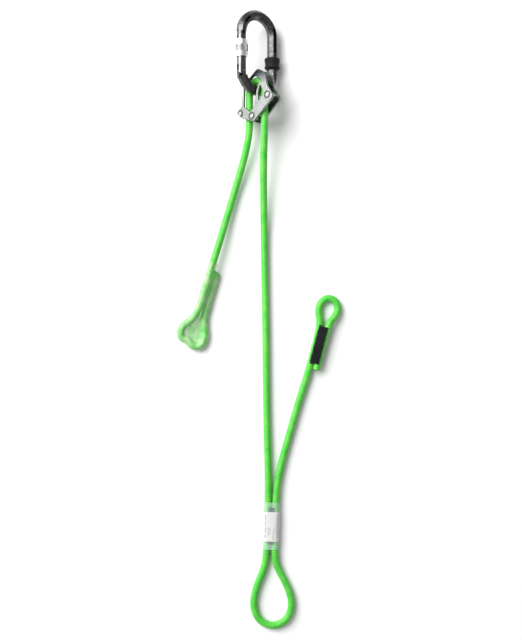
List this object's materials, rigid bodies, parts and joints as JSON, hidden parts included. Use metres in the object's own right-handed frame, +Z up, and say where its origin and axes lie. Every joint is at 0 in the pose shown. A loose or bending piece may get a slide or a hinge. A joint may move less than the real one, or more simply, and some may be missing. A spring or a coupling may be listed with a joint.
{
  "type": "adjustable rope lanyard",
  "caption": "Adjustable rope lanyard: a screw-lock oval carabiner in a riveted two-plate rope adjuster, with a harness loop, a side arm with a sewn eye and a sewn tail stop.",
  "frame": {"origin": "on the ground, under the middle of the hardware (carabiner and adjuster) as it lies", "axes": "+Z up from the ground it lies on, +Y along the carabiner from the adjuster to its closed bow, +X to the right of someone who looks down with the bow at the top; the rope runs towards -Y"},
  "size_m": [0.2071, 0.77, 0.0487],
  "materials": {
    "anodised_body": "dark grey anodised",
    "silver_sleeve": "bright turned, knurled middle band",
    "steel": "plain",
    "keeper_rubber": "moulded, matt",
    "plate": "satin grey, tumbled",
    "rivet": "turned head",
    "rope": "braided sheath, bright green",
    "clear_sleeve": "clear, flexible",
    "shrink_film": "translucent shrink film",
    "label": "white, blank",
    "thread": "black bar-tack stitching",
    "green_thread": "green bar-tack stitching"
  },
  "bodies": {
    "adjuster": {"front_side_plate": "plate", "rear_side_plate": "plate", "right_rivet": "rivet", "lower_rivet": "rivet", "left_rivet": "rivet", "right_spacer": "steel", "lower_spacer": "steel", "left_spacer": "steel", "rope_bend": "rope"},
    "carabiner": {"carabiner_body": "anodised_body", "gate_pivot_pin": "steel"},
    "gate": {"gate": "anodised_body", "gate_spring": "steel"},
    "plunger": {"gate_plunger": "steel"},
    "sleeve": {"locking_sleeve": "silver_sleeve"},
    "keeper": {"rubber_keeper": "keeper_rubber"},
    "harness_end": {"main_strand": "rope", "harness_loop": "rope", "label_sleeve": "clear_sleeve", "label": "label", "label_stitching": "thread"},
    "arm_end": {"arm_strand": "rope", "arm_eye": "rope", "arm_stitching": "thread"},
    "tail_end": {"tail_strand": "rope", "tail_eye": "rope", "tail_sleeve": "shrink_film", "tail_stitching": "green_thread"}
  },
  "joints": [
    {"name": "carabiner_swing", "type": "hinge", "parent": "adjuster", "child": "carabiner", "pos_m": [-0.0008, -0.0295, 0.0238], "axis": [0.8039, 0, -0.5948], "range_deg": [-50, 70]},
    {"name": "gate_swing", "type": "hinge", "parent": "carabiner", "child": "gate", "pos_m": [-0.01969, -0.0083, 0.03778], "axis": [-0.5948, 0, -0.8039], "range_deg": [0, 24], "stiffness_Nm_per_rad": 0.3, "springref_deg": -17.19},
    {"name": "plunger_slide", "type": "slide", "parent": "gate", "child": "plunger", "axis": [0, 1, 0], "range_m": [0, 0.0019], "deforming": ["gate_spring"]},
    {"name": "sleeve_screw", "type": "slide", "parent": "gate", "child": "sleeve", "axis": [0, 1, 0], "range_m": [0, 0.0085]},
    {"name": "keeper_slide", "type": "slide", "parent": "carabiner", "child": "keeper", "axis": [0, 1, 0], "range_m": [-0.005, 0.025]},
    {"name": "rope_feed", "type": "slide", "parent": "adjuster", "child": "harness_end", "axis": [0, -1, 0], "range_m": [-0.4, 0.15], "deforming": ["main_strand"]},
    {"name": "tail_feed", "type": "slide", "parent": "adjuster", "child": "tail_end", "axis": [-0.2916, -0.9565, 0], "range_m": [-0.15, 0.4], "deforming": ["tail_strand"]},
    {"name": "arm_swing", "type": "hinge", "parent": "harness_end", "child": "arm_end", "pos_m": [0.0223, -0.5412, 0.0059], "axis": [0, 0, 1], "range_deg": [-60, 8], "deforming": ["arm_strand"]}
  ],
  "couplings": [
    {"joint": "plunger_slide", "follows": "gate_swing", "m_per_rad": 0.00418},
    {"joint": "tail_feed", "follows": "rope_feed", "ratio": -1}
  ]
}
